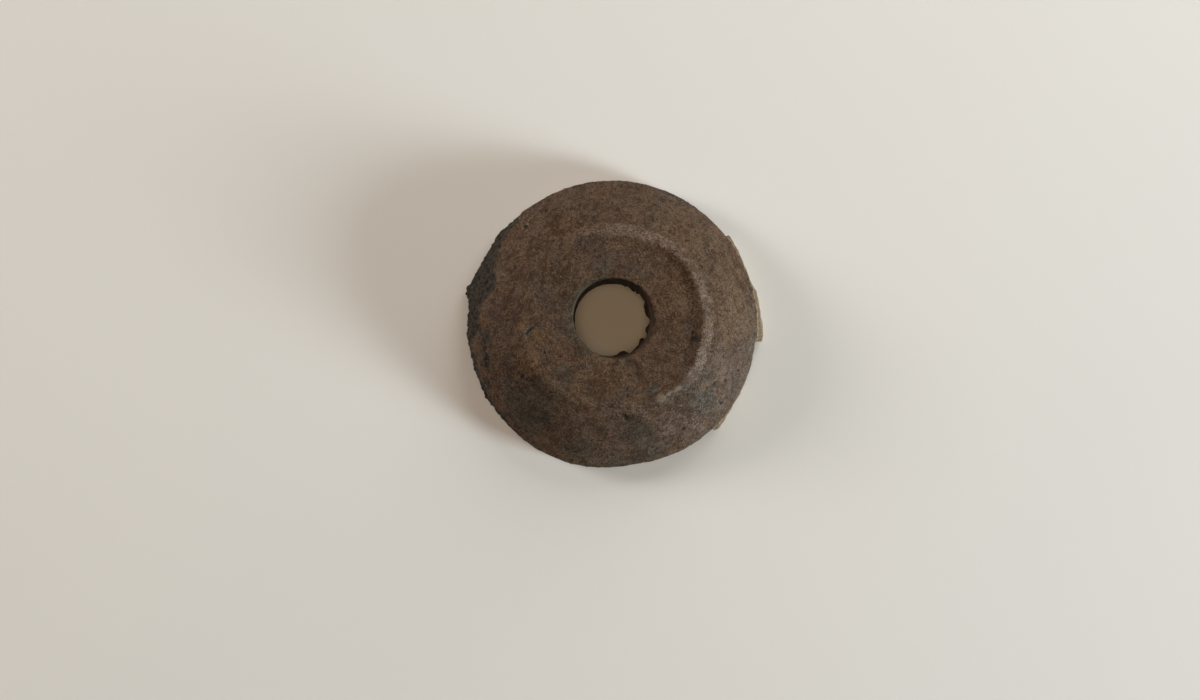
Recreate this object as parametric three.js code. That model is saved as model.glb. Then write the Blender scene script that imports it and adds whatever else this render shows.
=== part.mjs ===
// A bone spindle whorl, cut from the ball end of a cattle thigh bone: a low cap with a flat top face, a
// worn ring raised round that face, and a tapered hole for the spindle. The rim has broken away nearly
// all the way round, and a few stretches of the old edge still stand out from it.
//
// Millimetres and degrees, +Z up. Angles run counter-clockwise from +X. The whorl lies on its flat
// underside, with the origin on that underside, below the middle of its outline.
import * as THREE from 'three';

// Grid
const STATIONS = 180; // points round each ring of the surface
const SQUARE_END_GAP = 0.5; // angle over which a square break steps in or out

// Heights
const FACE_HEIGHT = 9.3; // flat top face
const CREST_HEIGHT = 9.6; // crest of the worn ring
const RIM_HEIGHT = 2.8; // top edge of the broken rim
const RIM_SIDE_HEIGHT = 1.2; // where the old edge stands out furthest

// Outline
const RIM_RADIUS = 21.05;
const RIM_UNDERCUT = 0.3; // how far the foot of the rim stands back from its side
const RIM_FLATS = [
  { at: 280, width: 58, depth: 0.45 },
  { at: 120, width: 56, depth: 0.15 },
];

// Stretches of the old edge, each as points of angle and of how far it stands out from the rim
const REMNANTS = [
  [[-6.5, 1.1], [-3, 1.2], [7, 0.8], [13, 0.7], [18, 0.25], [24, 0.25], [30, 0.45], [37.5, 0.55]],
  [[314.5, 0.55], [316.5, 0.8], [321, 0.5], [327, 0.25], [345, 0.15], [353, 0]],
  [[137, 0], [139, 0.35], [142, 0.3], [146, 0]],
  [[156, 0], [159, 0.35], [163.5, 0.5], [165, 0.9], [168, 0.85], [170, 0.3], [174, 0]],
  [[178, 0], [184, 0.25], [189, 0]],
  [[204, 0], [210, 0.3], [215, 0]],
];
const SQUARE_ENDS = [-6.5, 37.5, 314.5]; // angles where a remnant ends in a square break
const REMNANT_TOP_SHARE = 0.2; // how much of a remnant's reach its top edge has

// Worn ring round the top face
const RING_CENTRE = new THREE.Vector2(-0.05, 0.6);
const RING_RADIUS = 13.3;
const RING_OVAL = 0.8; // added to the radius along the long axis and taken off across it
const RING_LONG_AXIS = 19;
const RING_SECTION = [
  [-2.3, FACE_HEIGHT],
  [-1.4, 9.2],
  [-0.75, 9.32],
  [-0.35, 9.54],
  [0, CREST_HEIGHT],
];

// Flank, from the ring's crest to the rim's top edge, as shares of the way out and of the way down
const FLANK = [
  [0.05, 0.02],
  [0.12, 0.08],
  [0.2, 0.17],
  [0.33, 0.25],
  [0.46, 0.36],
  [0.59, 0.49],
  [0.72, 0.64],
  [0.86, 0.81],
  [1, 1],
];
const CRUMBLED_EDGE = { at: 167, width: 84, depth: 0.35 }; // surface lost along the rim on one side
const CRUMBLED_FROM = 0.6; // share of the flank where that loss starts

// Spindle hole: it leans a little and widens towards the top
const HOLE_FOOT = { centre: new THREE.Vector2(-0.16, 0.67), radius: 5.3 };
const HOLE_TOP = { centre: new THREE.Vector2(0.35, 0.88), radius: 6.0, height: 8.6 };
const LIP_ROUNDING = [
  [0.18, 9.05],
  [0.7, FACE_HEIGHT],
];
const FACE_MIDDLE_RADIUS = 8.6;

// Broken lower lip of the hole: teeth stand into the hole, and notches (minus) cut back its wall
const BROKEN_LIP = [
  { at: 16, width: 20, depth: 0.3 },
  { at: 37, width: 16, depth: -0.26 },
  { at: 275, width: 12, depth: 0.25 },
  { at: 288, width: 14, depth: 0.65 },
  { at: 325, width: 14, depth: 0.4 },
  { at: 335, width: 8, depth: -0.2 },
  { at: 347, width: 9, depth: 0.3 },
  { at: 358, width: 10, depth: -0.32 },
];
// Height and what is left there of the broken lip's depth
const HOLE_WALL = [
  [0, 1],
  [1.5, 1],
  [3, 0.4],
  [5.5, 0],
  [HOLE_TOP.height, 0],
];

const UNDERSIDE_SHARES = [0.3, 0.65]; // ways in from the rim's foot to the hole, for extra rings

const { degToRad, euclideanModulo, lerp, smoothstep } = THREE.MathUtils;

/** Signed difference between two angles, from -180 to 180. */
function angleBetween(angle, other) {
  return euclideanModulo(angle - other + 180, 360) - 180;
}

/** Depth of one smooth dip or bump at an angle: full at its middle and nothing at its ends. */
function swell(angle, { at, width, depth }) {
  const offset = Math.abs(angleBetween(angle, at)) / (width / 2);
  return offset < 1 ? depth * Math.cos(offset * Math.PI / 2) ** 2 : 0;
}

function sumOfSwells(angle, swells) {
  return swells.reduce((sum, one) => sum + swell(angle, one), 0);
}

/** How far a remnant stands out at an angle, by straight lines between its points. */
function remnantReach(angle, points) {
  const along = euclideanModulo(angle - points[0][0], 360);
  for (let i = 1; i < points.length; i += 1) {
    const start = points[i - 1][0] - points[0][0];
    const end = points[i][0] - points[0][0];
    if (along >= start && along <= end) {
      return lerp(points[i - 1][1], points[i][1], (along - start) / (end - start));
    }
  }
  return 0;
}

function totalReach(angle) {
  return REMNANTS.reduce((reach, points) => Math.max(reach, remnantReach(angle, points)), 0);
}

function rimRadius(angle) {
  return RIM_RADIUS - sumOfSwells(angle, RIM_FLATS);
}

function ringRadius(angle) {
  return RING_RADIUS + RING_OVAL * Math.cos(2 * degToRad(angle - RING_LONG_AXIS));
}

/** The angles of the stations: even steps, drawn in to the two sides of each square break. */
function stationAngles() {
  const step = 360 / STATIONS;
  return Array.from({ length: STATIONS }, (_, i) => {
    const even = i * step;
    const end = SQUARE_ENDS.find((at) => Math.abs(angleBetween(even, at)) < step);
    if (end === undefined) {
      return even;
    }
    return end + Math.sign(angleBetween(even, end)) * SQUARE_END_GAP / 2;
  });
}

function pointAt(centre, radius, angle, height) {
  const turn = degToRad(angle);
  return new THREE.Vector3(
    centre.x + radius * Math.cos(turn),
    centre.y + radius * Math.sin(turn),
    height,
  );
}

/** The hole's wall, from the underside up. */
function holeWall(angle) {
  return HOLE_WALL.map(([height, lipShare]) => {
    const up = height / HOLE_TOP.height;
    const centre = HOLE_FOOT.centre.clone().lerp(HOLE_TOP.centre, up);
    const smooth = lerp(HOLE_FOOT.radius, HOLE_TOP.radius, up);
    return pointAt(centre, smooth - lipShare * sumOfSwells(angle, BROKEN_LIP), angle, height);
  });
}

/** The rounded lip of the hole and the flat face, from the hole out. */
function topFace(angle) {
  const lip = LIP_ROUNDING.map(([out, height]) => (
    pointAt(HOLE_TOP.centre, HOLE_TOP.radius + out, angle, height)
  ));
  return [...lip, pointAt(RING_CENTRE, FACE_MIDDLE_RADIUS, angle, FACE_HEIGHT)];
}

/** The shallow groove inside the worn ring, and the ring up to its crest. */
function wornRing(angle) {
  return RING_SECTION.map(([out, height]) => (
    pointAt(RING_CENTRE, ringRadius(angle) + out, angle, height)
  ));
}

/** The flank, from the ring's crest down to the rim's top edge. */
function flank(angle) {
  const rimTop = rimRadius(angle) + REMNANT_TOP_SHARE * totalReach(angle);
  return FLANK.map(([out, down]) => {
    const centre = RING_CENTRE.clone().multiplyScalar(1 - out);
    const radius = lerp(ringRadius(angle), rimTop, out);
    const lost = swell(angle, CRUMBLED_EDGE) * smoothstep(out, CRUMBLED_FROM, 1);
    return pointAt(centre, radius, angle, lerp(CREST_HEIGHT, RIM_HEIGHT, down) - lost);
  });
}

/** The rim's broken side and its foot. */
function brokenRim(angle) {
  const side = rimRadius(angle) + totalReach(angle);
  const centre = new THREE.Vector2();
  return [
    pointAt(centre, side, angle, RIM_SIDE_HEIGHT),
    pointAt(centre, side - RIM_UNDERCUT, angle, 0),
  ];
}

/** One closed section of the whorl, from the hole's foot over the top and back along the underside. */
function section(angle) {
  const wall = holeWall(angle);
  const rim = brokenRim(angle);
  const foot = rim[rim.length - 1];
  const underside = UNDERSIDE_SHARES.map((share) => foot.clone().lerp(wall[0], share));
  return [...wall, ...topFace(angle), ...wornRing(angle), ...flank(angle), ...rim, ...underside];
}

/** A closed ring-shaped surface through sections that all have the same number of points. */
function closedSurface(sections) {
  const perSection = sections[0].length;
  const indices = [];
  sections.forEach((_, i) => {
    const here = i * perSection;
    const next = ((i + 1) % sections.length) * perSection;
    for (let k = 0; k < perSection; k += 1) {
      const further = (k + 1) % perSection;
      indices.push(here + k, here + further, next + further);
      indices.push(here + k, next + further, next + k);
    }
  });
  const geometry = new THREE.BufferGeometry().setFromPoints(sections.flat());
  geometry.setIndex(indices);
  geometry.computeVertexNormals();
  return geometry;
}

function makeWhorl() {
  const geometry = closedSurface(stationAngles().map(section));
  const material = new THREE.MeshStandardMaterial({ color: 0x5a4a3c, roughness: 0.6, metalness: 0 });
  const whorl = new THREE.Mesh(geometry, material);
  whorl.name = 'whorl';
  geometry.computeBoundingBox();
  const middle = geometry.boundingBox.getCenter(new THREE.Vector3());
  whorl.position.set(-middle.x, -middle.y, 0);
  return whorl;
}

const group = new THREE.Group();
group.add(makeWhorl());

export default group;
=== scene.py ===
"""The looks of a bone spindle whorl: its worn and broken surface, its finish, and a plain studio.

Sizes are in millimetres and degrees unless a name says otherwise, and become metres where a mesh, a
light or the camera takes them. Angles run counter-clockwise from +X.
"""

import logging
import math
from dataclasses import dataclass, field
from enum import Enum, IntEnum

import bpy
import numpy as np
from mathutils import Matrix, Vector, noise


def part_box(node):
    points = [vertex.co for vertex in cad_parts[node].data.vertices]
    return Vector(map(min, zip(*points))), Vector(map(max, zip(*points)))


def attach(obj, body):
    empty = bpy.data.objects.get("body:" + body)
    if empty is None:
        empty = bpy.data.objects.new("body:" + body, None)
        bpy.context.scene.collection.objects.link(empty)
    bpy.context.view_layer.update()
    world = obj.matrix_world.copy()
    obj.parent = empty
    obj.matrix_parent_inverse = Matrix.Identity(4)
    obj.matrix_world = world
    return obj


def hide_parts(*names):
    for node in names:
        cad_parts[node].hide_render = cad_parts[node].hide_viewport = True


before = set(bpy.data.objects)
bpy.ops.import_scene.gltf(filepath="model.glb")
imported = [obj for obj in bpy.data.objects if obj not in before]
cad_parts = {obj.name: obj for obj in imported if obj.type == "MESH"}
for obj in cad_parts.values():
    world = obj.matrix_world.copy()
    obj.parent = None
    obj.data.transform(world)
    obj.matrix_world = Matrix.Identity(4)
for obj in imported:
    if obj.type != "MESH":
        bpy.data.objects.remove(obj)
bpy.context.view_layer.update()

MM = 0.001
NODE = "whorl"

AVERAGED = 9  # values averaged for one softened value
WEIGHT_STEPS = 20  # steps from no relief to full relief
SEAM_GAP = 1e-7  # metres, closed where the turned section meets itself

# Sockets of a colour mix node
MIX_UNDER = 6
MIX_OVER = 7
MIX_RESULT = 2

Place = tuple[float, float]
Pairs = tuple[tuple[float, float], ...]
Colour = tuple[float, float, float]
Socket = bpy.types.NodeSocket
Value = Socket | float
Paint = Socket | Colour
Inputs = dict[int | str, object]

log = logging.getLogger("whorl")


class Layer(Enum):
    """Vertex attributes that say where each finish or relief lies, from 0 to 1."""

    WEAR = "wear"  # rubbed crest of the ring and edges, partly painted sheen on the lit side
    CRUST = "crust"  # dark crumbled edge
    FRESH = "fresh"  # pale bone where the old edge broke off
    BORDER = "border"  # paler borders of that bone
    BROKEN = "broken"  # any broken side
    WALL = "wall"  # painted shade on the spindle hole's wall, darker on its shaded side
    SPONGE = "sponge"  # open spongy bone underneath
    PIT = "pit"  # small holes
    DARK = "dark"
    OLIVE = "olive"
    GREY = "grey"
    RED = "red"
    PINK = "pink"
    PURPLE = "purple"
    OCHRE = "ochre"
    PALE = "pale"


# ---------------------------------------------------------------------------------------------
# Form: the solid's section, with the finer course of its ring and of its hole


def angle_between(angle: np.ndarray, other: float) -> np.ndarray:
    """Signed difference from one angle to others, from -180 to 180."""
    return np.mod(angle - other + 180.0, 360.0) - 180.0


def soft_step(value: np.ndarray, low: float, high: float) -> np.ndarray:
    """A smooth rise from 0 at low to 1 at high; it falls where low is the greater."""
    t = np.clip((value - low) / (high - low), 0.0, 1.0)
    return t * t * (3.0 - 2.0 * t)


@dataclass(frozen=True)
class Fade:
    """A soft border between the value where a thing is gone and the value where it is full."""

    gone: float
    full: float

    def at(self, value: np.ndarray) -> np.ndarray:
        """How much of it there is at each value, from 0 to 1."""
        return soft_step(value, self.gone, self.full)


@dataclass(frozen=True)
class Side:
    """One side of the whorl, full near its middle and gone further round."""

    middle: float
    full_within: float
    gone_past: float

    def share(self, angle: np.ndarray) -> np.ndarray:
        """How much each angle belongs to the side, from 0 to 1."""
        return soft_step(np.abs(angle_between(angle, self.middle)), self.gone_past, self.full_within)


@dataclass(frozen=True)
class Swell:
    """One smooth dip or bump round the whorl."""

    at: float
    width: float
    depth: float

    def depth_at(self, angle: np.ndarray) -> np.ndarray:
        """Full depth at its middle and none at its ends."""
        offset = np.minimum(np.abs(angle_between(angle, self.at)) / (self.width / 2), 1.0)
        return self.depth * np.cos(offset * math.pi / 2) ** 2


def sum_of(swells: tuple[Swell, ...], angle: np.ndarray) -> np.ndarray:
    """The depths of several swells added up."""
    return sum(swell.depth_at(angle) for swell in swells)


@dataclass(frozen=True)
class Contour:
    """A value that changes smoothly round the whorl, as points of angle and value."""

    points: Pairs
    soften: float = 6.0  # angle over which its corners are rounded

    def at(self, angle: np.ndarray) -> np.ndarray:
        """The value at each angle, averaged over a short way to both sides.

        Args:
            angle: angles round the whorl.

        Returns:
            One value for each angle.
        """
        angles, values = zip(*self.points)
        spread = np.linspace(-self.soften, self.soften, AVERAGED)
        near = [np.interp(angle + offset, angles, values, period=360) for offset in spread]
        return np.mean(near, axis=0)


@dataclass(frozen=True)
class Remnant:
    """A stretch of the old edge, as points of angle and of how far it stands out from the rim."""

    points: Pairs
    pale: bool = False

    def reach_at(self, angle: np.ndarray) -> np.ndarray:
        """How far it stands out at each angle, by straight lines between its points.

        Args:
            angle: angles round the whorl.

        Returns:
            One reach for each angle, and 0 off the stretch.
        """
        start = self.points[0][0]
        along = np.mod(angle - start, 360.0)
        places = [at - start for at, _ in self.points]
        return np.interp(along, places, [reach for _, reach in self.points], right=0.0)

    def holds(self, angle: np.ndarray) -> np.ndarray:
        """1 where an angle lies on this stretch, and 0 elsewhere."""
        start, end = self.points[0][0], self.points[-1][0]
        return (np.mod(angle - start, 360.0) <= end - start).astype(float)


def at_polar(
    centre: Place, radius: np.ndarray, angle: np.ndarray, height: float | np.ndarray
) -> np.ndarray:
    """Points at a radius, an angle and a height round a centre.

    Args:
        centre: x and y of the centre.
        radius: distance from it, one for each angle.
        angle: angles.
        height: one height, or one for each angle.

    Returns:
        One row of x, y and z for each angle.
    """
    turn = np.radians(angle)
    x = centre[0] + radius * np.cos(turn)
    y = centre[1] + radius * np.sin(turn)
    return np.stack([x, y, np.broadcast_to(height, x.shape)], axis=-1)


@dataclass(frozen=True)
class WhorlForm:
    """The whorl's outline and section, knot by knot, from the hole's foot over the top to the rim's foot."""

    face_height: float = 9.3
    crest_height: float = 9.6
    rim_height: float = 2.8
    rim_side_height: float = 1.2

    rim_radius: float = 21.05
    rim_undercut: float = 0.3
    rim_flats: tuple[Swell, ...] = (Swell(280, 58, 0.45), Swell(120, 56, 0.15))
    remnants: tuple[Remnant, ...] = (
        Remnant(
            ((-6.5, 1.1), (-3, 1.2), (7, 0.8), (13, 0.7), (18, 0.25), (24, 0.25), (30, 0.45), (37.5, 0.55)),
            pale=True,
        ),
        Remnant(((314.5, 0.55), (316.5, 0.8), (321, 0.5), (327, 0.25), (345, 0.15), (353, 0)), pale=True),
        Remnant(((137, 0), (139, 0.35), (142, 0.3), (146, 0))),
        Remnant(((156, 0), (159, 0.35), (163.5, 0.5), (165, 0.9), (168, 0.85), (170, 0.3), (174, 0))),
        Remnant(((178, 0), (184, 0.25), (189, 0))),
        Remnant(((204, 0), (210, 0.3), (215, 0))),
    )
    remnant_top_share: float = 0.2  # how much of a stretch's reach the rim's top edge has
    remnant_top_soften: float = 4.0  # angle over which that reach is averaged

    crest: Contour = Contour((
        (0, 13.1), (15, 13.3), (30, 13.5), (42, 13.8), (54, 13.4), (70, 13.0), (90, 13.0), (110, 13.3),
        (140, 13.4), (170, 13.3), (190, 13.0), (210, 12.8), (230, 12.3), (250, 11.8), (268, 11.4),
        (285, 11.6), (300, 12.2), (315, 12.7), (330, 13.1), (345, 13.0),
    ))
    crest_rise: Contour = Contour((
        (0, 1.0), (40, 0.9), (65, 0.55), (90, 0.3), (140, 0.2), (200, 0.15), (260, 0.2), (285, 0.45),
        (300, 0.45), (312, 0.5), (325, 0.85), (340, 1.0),
    ))
    ring_section: Pairs = (  # out from the crest, and up as a share of its rise
        (-2.3, 0.0),
        (-1.3, -0.1),
        (-0.75, 0.05),
        (-0.35, 0.24),
        (0.0, 0.3),
    )

    flank: Pairs = (  # shares of the way out and of the way down
        (0.04, 0.015),
        (0.10, 0.07),
        (0.19, 0.16),
        (0.30, 0.22),
        (0.42, 0.31),
        (0.54, 0.42),
        (0.67, 0.57),
        (0.83, 0.76),
        (1.0, 1.0),
    )
    crumbled_edge: Swell = Swell(167, 84, 0.35)
    crumbled_from: float = 0.6

    hole_centre: Place = (-0.05, 0.69)
    hole_foot_radius: float = 5.33
    hole_top_radius: Contour = Contour((
        (0, 5.95), (40, 6.0), (90, 5.95), (120, 5.92), (140, 5.85), (160, 5.72), (180, 5.6), (200, 5.46),
        (220, 5.36), (245, 5.36), (265, 5.42), (285, 5.6), (305, 5.75), (330, 5.9),
    ))
    hole_top_height: float = 8.6
    lip_rounding: Pairs = ((0.35, 9.02), (1.0, 9.27))  # share of the lip's width, and height
    lip_width: Contour = Contour((
        (0, 0.6), (40, 0.5), (70, 0.4), (100, 0.22), (140, 0.12), (200, 0.12), (240, 0.15), (270, 0.3),
        (300, 0.4), (330, 0.55),
    ))
    face_middle_radius: float = 8.6
    broken_lip: Contour = Contour((
        (-93, 0.0), (-85, -0.1), (-77, -0.35), (-73, -0.5), (-67, -0.45), (-64, -0.15), (-60, 0.2),
        (-54, 0.15), (-47, 0.1), (-40, 0.0), (-35, -0.2), (-30.5, -0.2), (-29.5, 0.3), (-25, 0.4),
        (-20, 0.3), (-16.5, -0.15), (-12, -0.1), (-7, 0.25), (-1, 0.45), (2.5, 0.3), (7, -0.1),
        (14, -0.2), (23, -0.1), (29, 0.25),
        (34, 0.3), (42, 0.4), (46, 0.1), (50.5, 0.25), (52, 0.0), (57, 0.05), (63, 0.2), (68, 0.0), (72, 0.1),
        (87, 0.0),
    ), soften=0.6)
    hole_wall: Pairs = (  # height, and what is left there of the broken lip
        (0.0, 1.0),
        (1.5, 1.0),
        (3.0, 0.4),
        (5.5, 0.0),
        (8.6, 0.0),
    )

    def reach(self, angle: np.ndarray) -> np.ndarray:
        """How far the old edge stands out at each angle."""
        return np.max([remnant.reach_at(angle) for remnant in self.remnants], axis=0)

    def rim_at(self, angle: np.ndarray) -> np.ndarray:
        """Radius of the broken rim at each angle."""
        return self.rim_radius - sum_of(self.rim_flats, angle)

    def rim_top_at(self, angle: np.ndarray) -> np.ndarray:
        """Radius of the rim's top edge at each angle.

        Args:
            angle: angles round the whorl.

        Returns:
            One radius for each angle.
        """
        spread = np.linspace(-self.remnant_top_soften, self.remnant_top_soften, AVERAGED)
        reach = np.mean([self.reach(angle + offset) for offset in spread], axis=0)
        return self.rim_at(angle) + self.remnant_top_share * reach

    def crest_height_at(self, angle: np.ndarray) -> np.ndarray:
        """Height of the ring's crest, which is worn flat on one side."""
        return self.face_height + (self.crest_height - self.face_height) * self.crest_rise.at(angle)

    def wall_knots(self, angle: np.ndarray) -> list[np.ndarray]:
        """The hole's wall, from the underside up.

        Args:
            angle: angles round the whorl.

        Returns:
            For each knot in order, one row of x, y and z for each angle.
        """
        knots = []
        for height, lip_share in self.hole_wall:
            up = height / self.hole_top_height
            smooth = (1 - up) * self.hole_foot_radius + up * self.hole_top_radius.at(angle)
            radius = smooth + lip_share * self.broken_lip.at(angle)
            knots.append(at_polar(self.hole_centre, radius, angle, height))
        return knots

    def face_knots(self, angle: np.ndarray) -> list[np.ndarray]:
        """The hole's rounded lip and the flat face.

        Args:
            angle: angles round the whorl.

        Returns:
            For each knot in order, one row of x, y and z for each angle.
        """
        top, width = self.hole_top_radius.at(angle), self.lip_width.at(angle)
        knots = [
            at_polar(self.hole_centre, top + out * width, angle, height) for out, height in self.lip_rounding
        ]
        middle = np.full(angle.shape, self.face_middle_radius)
        return knots + [at_polar(self.hole_centre, middle, angle, self.face_height)]

    def ring_knots(self, angle: np.ndarray) -> list[np.ndarray]:
        """The groove inside the worn ring, and the ring up to its crest.

        Args:
            angle: angles round the whorl.

        Returns:
            For each knot in order, one row of x, y and z for each angle.
        """
        crest, rise = self.crest.at(angle), self.crest_rise.at(angle)
        return [
            at_polar((0.0, 0.0), crest + out, angle, self.face_height + up * rise)
            for out, up in self.ring_section
        ]

    def flank_knots(self, angle: np.ndarray) -> list[np.ndarray]:
        """The flank, from the crest down to the rim's top edge.

        Args:
            angle: angles round the whorl.

        Returns:
            For each knot in order, one row of x, y and z for each angle.
        """
        knots = []
        crest, rim = self.crest.at(angle), self.rim_top_at(angle)
        top = self.crest_height_at(angle)
        for out, down in self.flank:
            lost = self.crumbled_edge.depth_at(angle) * soft_step(np.array(out), self.crumbled_from, 1.0)
            height = top + (self.rim_height - top) * down - lost
            knots.append(at_polar((0.0, 0.0), crest + (rim - crest) * out, angle, height))
        return knots

    def rim_knots(self, angle: np.ndarray) -> list[np.ndarray]:
        """The rim's broken side and its foot.

        Args:
            angle: angles round the whorl.

        Returns:
            For each knot in order, one row of x, y and z for each angle.
        """
        side = self.rim_at(angle) + self.reach(angle)
        return [
            at_polar((0.0, 0.0), side, angle, self.rim_side_height),
            at_polar((0.0, 0.0), side - self.rim_undercut, angle, 0.0),
        ]

    def knots(self, angle: np.ndarray) -> np.ndarray:
        """All the knots of the section at each angle.

        Args:
            angle: angles round the whorl.

        Returns:
            An array of knots by angles by x, y and z.
        """
        parts = [self.wall_knots, self.face_knots, self.ring_knots, self.flank_knots, self.rim_knots]
        return np.stack([knot for part in parts for knot in part(angle)])


class Knot(IntEnum):
    """The section's knots at which one surface ends and the next begins, counted from the hole's foot."""

    FOOT = 0
    LIP = 4
    FACE = 6
    CREST = 12
    RIM_TOP = 21
    RIM_FOOT = 23


@dataclass(frozen=True)
class Stretch:
    """One run of the section between two knots, with the spacing of its points."""

    first: int
    last: int
    spacing: float


@dataclass
class WhorlSurface:
    """The fine surface: the closed section is turned once round, and each point moved to its place."""

    form: WhorlForm = field(default_factory=WhorlForm)
    turns: int = 760  # steps once round
    stretches: tuple[Stretch, ...] = (
        Stretch(Knot.FOOT, Knot.LIP, 0.25),
        Stretch(Knot.LIP, Knot.RIM_TOP, 0.14),
        Stretch(Knot.RIM_TOP, Knot.RIM_FOOT, 0.14),
        Stretch(Knot.RIM_FOOT, Knot.RIM_FOOT + 1, 0.4),
    )

    def stations(self) -> np.ndarray:
        """Places along the section, in knots and shares of the way to the next knot.

        Returns:
            One place for each point of the section.
        """
        knots = self.form.knots(np.array([0.0]))[:, 0]
        closed = np.vstack([knots, knots[:1]])
        places = []
        for stretch in self.stretches:
            for knot in range(stretch.first, stretch.last):
                length = float(np.linalg.norm(closed[knot + 1] - closed[knot]))
                count = max(2, round(length / stretch.spacing))
                places.extend(knot + np.arange(count) / count)
        return np.array(places)

    def grid(self, stations: np.ndarray, angle: np.ndarray) -> np.ndarray:
        """Smooth curves through the knots, which stay sharp at the ends of each stretch.

        Args:
            stations: places along the section.
            angle: angles round the whorl.

        Returns:
            An array of stations by angles by x, y and z.
        """
        knots = self.form.knots(angle)
        closed = np.concatenate([knots, knots[:1]])
        rows = []
        for place in stations:
            stretch = next(s for s in self.stretches if s.first <= place < s.last)
            knot, share = int(place), place - int(place)
            before = closed[max(knot - 1, stretch.first)]
            after = closed[min(knot + 2, stretch.last)]
            rows.append(smooth_between(before, closed[knot], closed[knot + 1], after, share))
        return np.stack(rows)

    def lathe(self, stations: np.ndarray) -> bpy.types.Object:
        """Adds a closed loop, draws it into the section, and turns it once round.

        Args:
            stations: places along the section.

        Returns:
            The turned surface, with the number of each vertex's station as an attribute.
        """
        bpy.ops.object.select_all(action="DESELECT")
        middle = self.form.hole_foot_radius + self.form.rim_radius
        bpy.ops.mesh.primitive_circle_add(
            vertices=len(stations), radius=self.form.hole_foot_radius * MM,
            location=(middle / 2 * MM, 0, 0), rotation=(math.pi / 2, 0, 0), fill_type="NOTHING",
        )
        bpy.ops.object.transform_apply(location=True, rotation=True, scale=True)
        whorl = bpy.context.object
        whorl.name = "whorl_surface"
        section = self.grid(stations, np.array([0.0]))[:, 0] * MM
        whorl.data.vertices.foreach_set("co", section.astype(np.float32).ravel())
        station = whorl.data.attributes.new("station", "FLOAT", "POINT")
        station.data.foreach_set("value", np.arange(len(stations), dtype=np.float32))
        turning = whorl.modifiers.new("turning", "SCREW")
        turning.axis = "Z"
        turning.steps = turning.render_steps = self.turns
        turning.use_merge_vertices = True
        turning.merge_threshold = SEAM_GAP
        bpy.ops.object.modifier_apply(modifier=turning.name)
        make_normals_outward()
        return whorl

    def build(self) -> tuple[bpy.types.Object, np.ndarray, np.ndarray]:
        """Turns the surface and moves each point to its place on the outline.

        Returns:
            The object, and for each of its vertices the place along the section and the angle.
        """
        stations = self.stations()
        whorl = self.lathe(stations)
        points = read_points(whorl)
        station = np.zeros(len(points), np.float32)
        whorl.data.attributes["station"].data.foreach_get("value", station)
        station = station.round().astype(int)
        step = 360.0 / self.turns
        turn = np.mod(np.degrees(np.arctan2(points[:, 1], points[:, 0])) / step, self.turns)
        turn = turn.round().astype(int) % self.turns
        angles = np.arange(self.turns) * step
        placed = self.grid(stations, angles)[station, turn]
        whorl.data.attributes.remove(whorl.data.attributes["station"])
        write_points(whorl, placed)
        log.info("%s: %d stations by %d turns", whorl.name, len(stations), self.turns)
        return whorl, stations[station], angles[turn]


def smooth_between(
    before: np.ndarray, start: np.ndarray, end: np.ndarray, after: np.ndarray, share: float
) -> np.ndarray:
    """A point on the smooth curve from start to end, led in and out by their neighbours.

    Args:
        before: the knot before the start.
        start: where the curve starts.
        end: where it ends.
        after: the knot after the end.
        share: how far along it the point lies, from 0 to 1.

    Returns:
        The point, for each angle.
    """
    lead_in, lead_out = (end - before) / 2, (after - start) / 2
    squared, cubed = share**2, share**3
    return (
        (2 * cubed - 3 * squared + 1) * start
        + (cubed - 2 * squared + share) * lead_in
        + (3 * squared - 2 * cubed) * end
        + (cubed - squared) * lead_out
    )


def read_points(piece: bpy.types.Object) -> np.ndarray:
    """The vertices of a piece, in millimetres.

    Args:
        piece: the piece.

    Returns:
        One row of x, y and z for each vertex.
    """
    flat = np.zeros(len(piece.data.vertices) * 3, np.float32)
    piece.data.vertices.foreach_get("co", flat)
    return flat.reshape(-1, 3).astype(float) / MM


def write_points(piece: bpy.types.Object, points: np.ndarray) -> None:
    """Moves the vertices of a piece to points in millimetres."""
    piece.data.vertices.foreach_set("co", (points * MM).astype(np.float32).ravel())
    piece.data.update()


def make_normals_outward() -> None:
    """Points the faces of the active piece outward."""
    bpy.ops.object.mode_set(mode="EDIT")
    bpy.ops.mesh.select_all(action="SELECT")
    bpy.ops.mesh.normals_make_consistent(inside=False)
    bpy.ops.object.mode_set(mode="OBJECT")


# ---------------------------------------------------------------------------------------------
# Wear with painted sheen, breaks, painted shade in the hole, and stains: where each lies


@dataclass(frozen=True)
class Spot:
    """One mark in the top or flank, round or drawn out, at x and y from the outline's middle."""

    x: float
    y: float
    radius: float
    strength: float = 1.0  # for a pit, its depth
    length: float = 1.0  # how many times longer than wide
    turn: float = 0.0  # direction of its length

    def away(self, points: np.ndarray) -> np.ndarray:
        """Distance of each point from the middle, 1 at the border.

        Args:
            points: one row of x, y and z for each vertex.

        Returns:
            One distance for each vertex.
        """
        turn = math.radians(self.turn)
        x, y = points[:, 0] - self.x, points[:, 1] - self.y
        along = x * math.cos(turn) + y * math.sin(turn)
        across = y * math.cos(turn) - x * math.sin(turn)
        return np.hypot(along / self.length, across) / self.radius


class Pattern(Enum):
    """Kinds of roughness."""

    CLOUDS = "CLOUDS"
    CELLS = "VORONOI"


@dataclass(frozen=True)
class Relief:
    """One layer of roughness pressed into the surface along its normals."""

    layer: Layer | None  # where it lies, or None for all but the underside
    pattern: Pattern
    grain: float
    height: float
    middle: float = 0.5  # value of the pattern that leaves the surface where it is


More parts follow.
